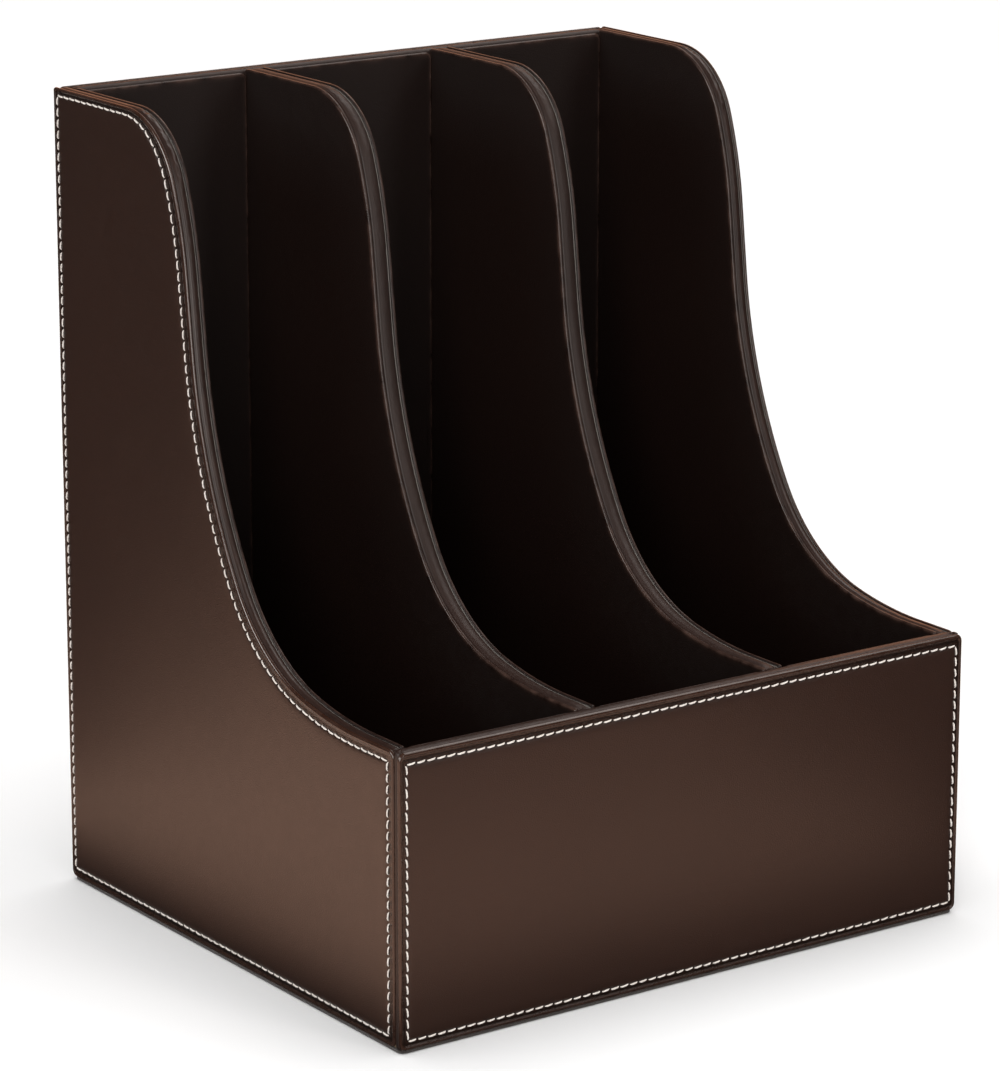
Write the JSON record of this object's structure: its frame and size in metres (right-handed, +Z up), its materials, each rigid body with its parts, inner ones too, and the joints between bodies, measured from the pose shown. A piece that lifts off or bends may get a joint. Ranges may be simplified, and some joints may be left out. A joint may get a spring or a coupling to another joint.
{
  "type": "magazine file holder",
  "caption": "Upright desk file holder in leather-covered board, with open bays between shaped dividers and a low stitched front panel.",
  "frame": {"origin": "centre of the underside, at the middle of the footprint", "axes": "+Z up, +Y from the low front towards the tall back, +X towards the right side seen from the front"},
  "size_m": [0.28, 0.25, 0.34],
  "materials": {
    "outer_leather": "smooth, semi-matt, very fine grain",
    "edge_leather": "smooth, slightly glossy, faint creases",
    "lining_leather": "smooth, semi-matt",
    "board": "raw medium density fibreboard",
    "card": "grey bookbinder's board",
    "thread": "twisted polyester thread",
    "felt": "short-nap felt"
  },
  "bodies": {
    "root": {"base_board": "board", "back_board": "board", "front_board": "board", "left_side_board": "board", "right_side_board": "board", "left_divider_board": "board", "right_divider_board": "board", "left_side_binding": "edge_leather", "right_side_binding": "edge_leather", "left_divider_binding": "edge_leather", "right_divider_binding": "edge_leather", "back_binding": "edge_leather", "front_binding": "edge_leather", "left_corner_strip": "edge_leather", "right_corner_strip": "edge_leather", "left_panel_leather": "outer_leather", "left_panel_card": "card", "left_panel_thread": "thread", "right_panel_leather": "outer_leather", "right_panel_card": "card", "right_panel_thread": "thread", "front_panel_leather": "outer_leather", "front_panel_card": "card", "front_panel_thread": "thread", "back_panel_leather": "outer_leather", "back_panel_card": "card", "back_panel_thread": "thread", "left_side_lining": "lining_leather", "left_side_lining_card": "card", "right_side_lining": "lining_leather", "right_side_lining_card": "card", "left_divider_left_lining": "lining_leather", "left_divider_left_lining_card": "card", "left_divider_right_lining": "lining_leather", "left_divider_right_lining_card": "card", "right_divider_left_lining": "lining_leather", "right_divider_left_lining_card": "card", "right_divider_right_lining": "lining_leather", "right_divider_right_lining_card": "card", "left_bay_back_lining": "lining_leather", "left_bay_front_lining": "lining_leather", "left_bay_floor_lining": "lining_leather", "middle_bay_back_lining": "lining_leather", "middle_bay_front_lining": "lining_leather", "middle_bay_floor_lining": "lining_leather", "right_bay_back_lining": "lining_leather", "right_bay_front_lining": "lining_leather", "right_bay_floor_lining": "lining_leather", "base_pad": "felt"}
  },
  "joints": []
}
